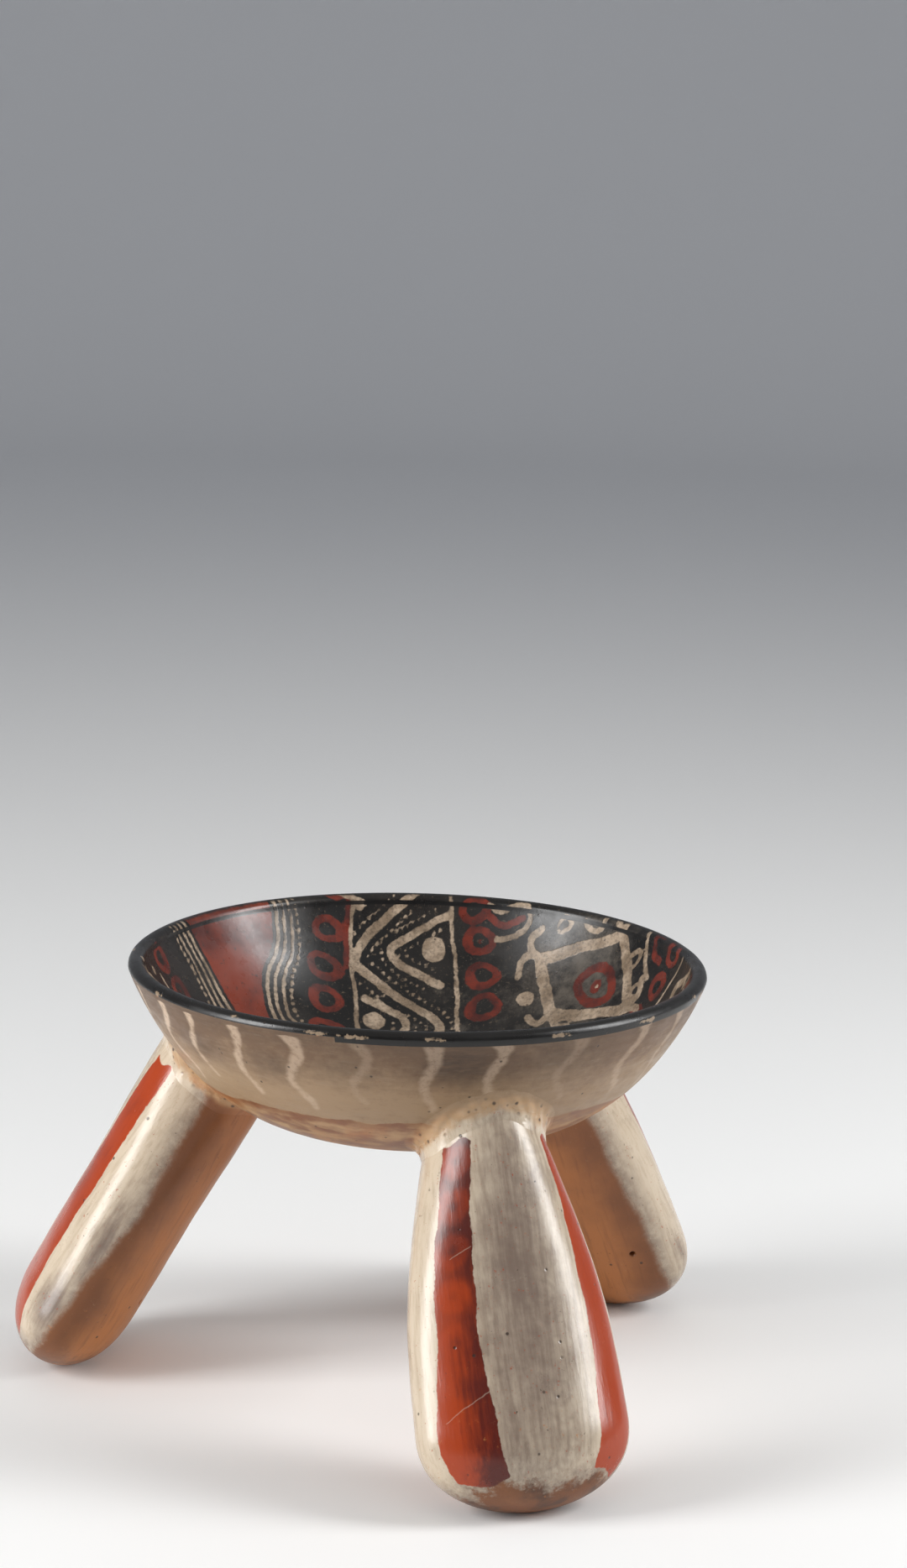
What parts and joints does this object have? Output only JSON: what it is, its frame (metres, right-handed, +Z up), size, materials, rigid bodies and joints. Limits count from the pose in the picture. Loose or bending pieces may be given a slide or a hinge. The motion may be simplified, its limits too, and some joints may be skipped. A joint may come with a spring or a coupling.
{
  "type": "tripod rattle vessel",
  "caption": "Shallow painted clay bowl on hollow splayed bulbous legs, each luted on with a clay collar and holding loose pellets that rattle.",
  "frame": {"origin": "middle of the whole vessel's box, on the floor that the three feet stand on; the bowl's own axis stands at x 17.2 mm, y 5.6 mm", "axes": "+Z up; the front leg points mostly towards -Y, the right leg towards +X and +Y, and the left leg towards -X"},
  "size_m": [0.2214, 0.2376, 0.1414],
  "materials": {
    "painted_bowl": "burnished painted slip, black, red and cream",
    "painted_leg": "burnished cream and red slip",
    "luting_clay": "smeared and burnished bare clay",
    "pellet_clay": "rough fired clay"
  },
  "bodies": {
    "vessel": {"bowl": "painted_bowl", "leg_front": "painted_leg", "leg_right": "painted_leg", "leg_left": "painted_leg", "collar_front": "luting_clay", "collar_right": "luting_clay", "collar_left": "luting_clay"},
    "pellet_front_1": {"pellet_front_1": "pellet_clay"},
    "pellet_front_2": {"pellet_front_2": "pellet_clay"},
    "pellet_front_3": {"pellet_front_3": "pellet_clay"},
    "pellet_right_1": {"pellet_right_1": "pellet_clay"},
    "pellet_right_2": {"pellet_right_2": "pellet_clay"},
    "pellet_right_3": {"pellet_right_3": "pellet_clay"},
    "pellet_left_1": {"pellet_left_1": "pellet_clay"},
    "pellet_left_2": {"pellet_left_2": "pellet_clay"},
    "pellet_left_3": {"pellet_left_3": "pellet_clay"}
  },
  "joints": [
    {"name": "pellet_front_1_slide", "type": "slide", "parent": "vessel", "child": "pellet_front_1", "axis": [-0.1594, 0.4578, 0.8746], "range_m": [0, 0.0485]},
    {"name": "pellet_front_2_slide", "type": "slide", "parent": "vessel", "child": "pellet_front_2", "axis": [-0.1594, 0.4578, 0.8746], "range_m": [0, 0.0865]},
    {"name": "pellet_front_3_slide", "type": "slide", "parent": "vessel", "child": "pellet_front_3", "axis": [-0.1594, 0.4578, 0.8746], "range_m": [0, 0.0485]},
    {"name": "pellet_right_1_slide", "type": "slide", "parent": "vessel", "child": "pellet_right_1", "axis": [-0.2863, -0.3912, 0.8746], "range_m": [0, 0.0485]},
    {"name": "pellet_right_2_slide", "type": "slide", "parent": "vessel", "child": "pellet_right_2", "axis": [-0.2863, -0.3912, 0.8746], "range_m": [0, 0.0865]},
    {"name": "pellet_right_3_slide", "type": "slide", "parent": "vessel", "child": "pellet_right_3", "axis": [-0.2863, -0.3912, 0.8746], "range_m": [0, 0.0485]},
    {"name": "pellet_left_1_slide", "type": "slide", "parent": "vessel", "child": "pellet_left_1", "axis": [0.4794, -0.0725, 0.8746], "range_m": [0, 0.0485]},
    {"name": "pellet_left_2_slide", "type": "slide", "parent": "vessel", "child": "pellet_left_2", "axis": [0.4794, -0.0725, 0.8746], "range_m": [0, 0.0865]},
    {"name": "pellet_left_3_slide", "type": "slide", "parent": "vessel", "child": "pellet_left_3", "axis": [0.4794, -0.0725, 0.8746], "range_m": [0, 0.0485]}
  ]
}
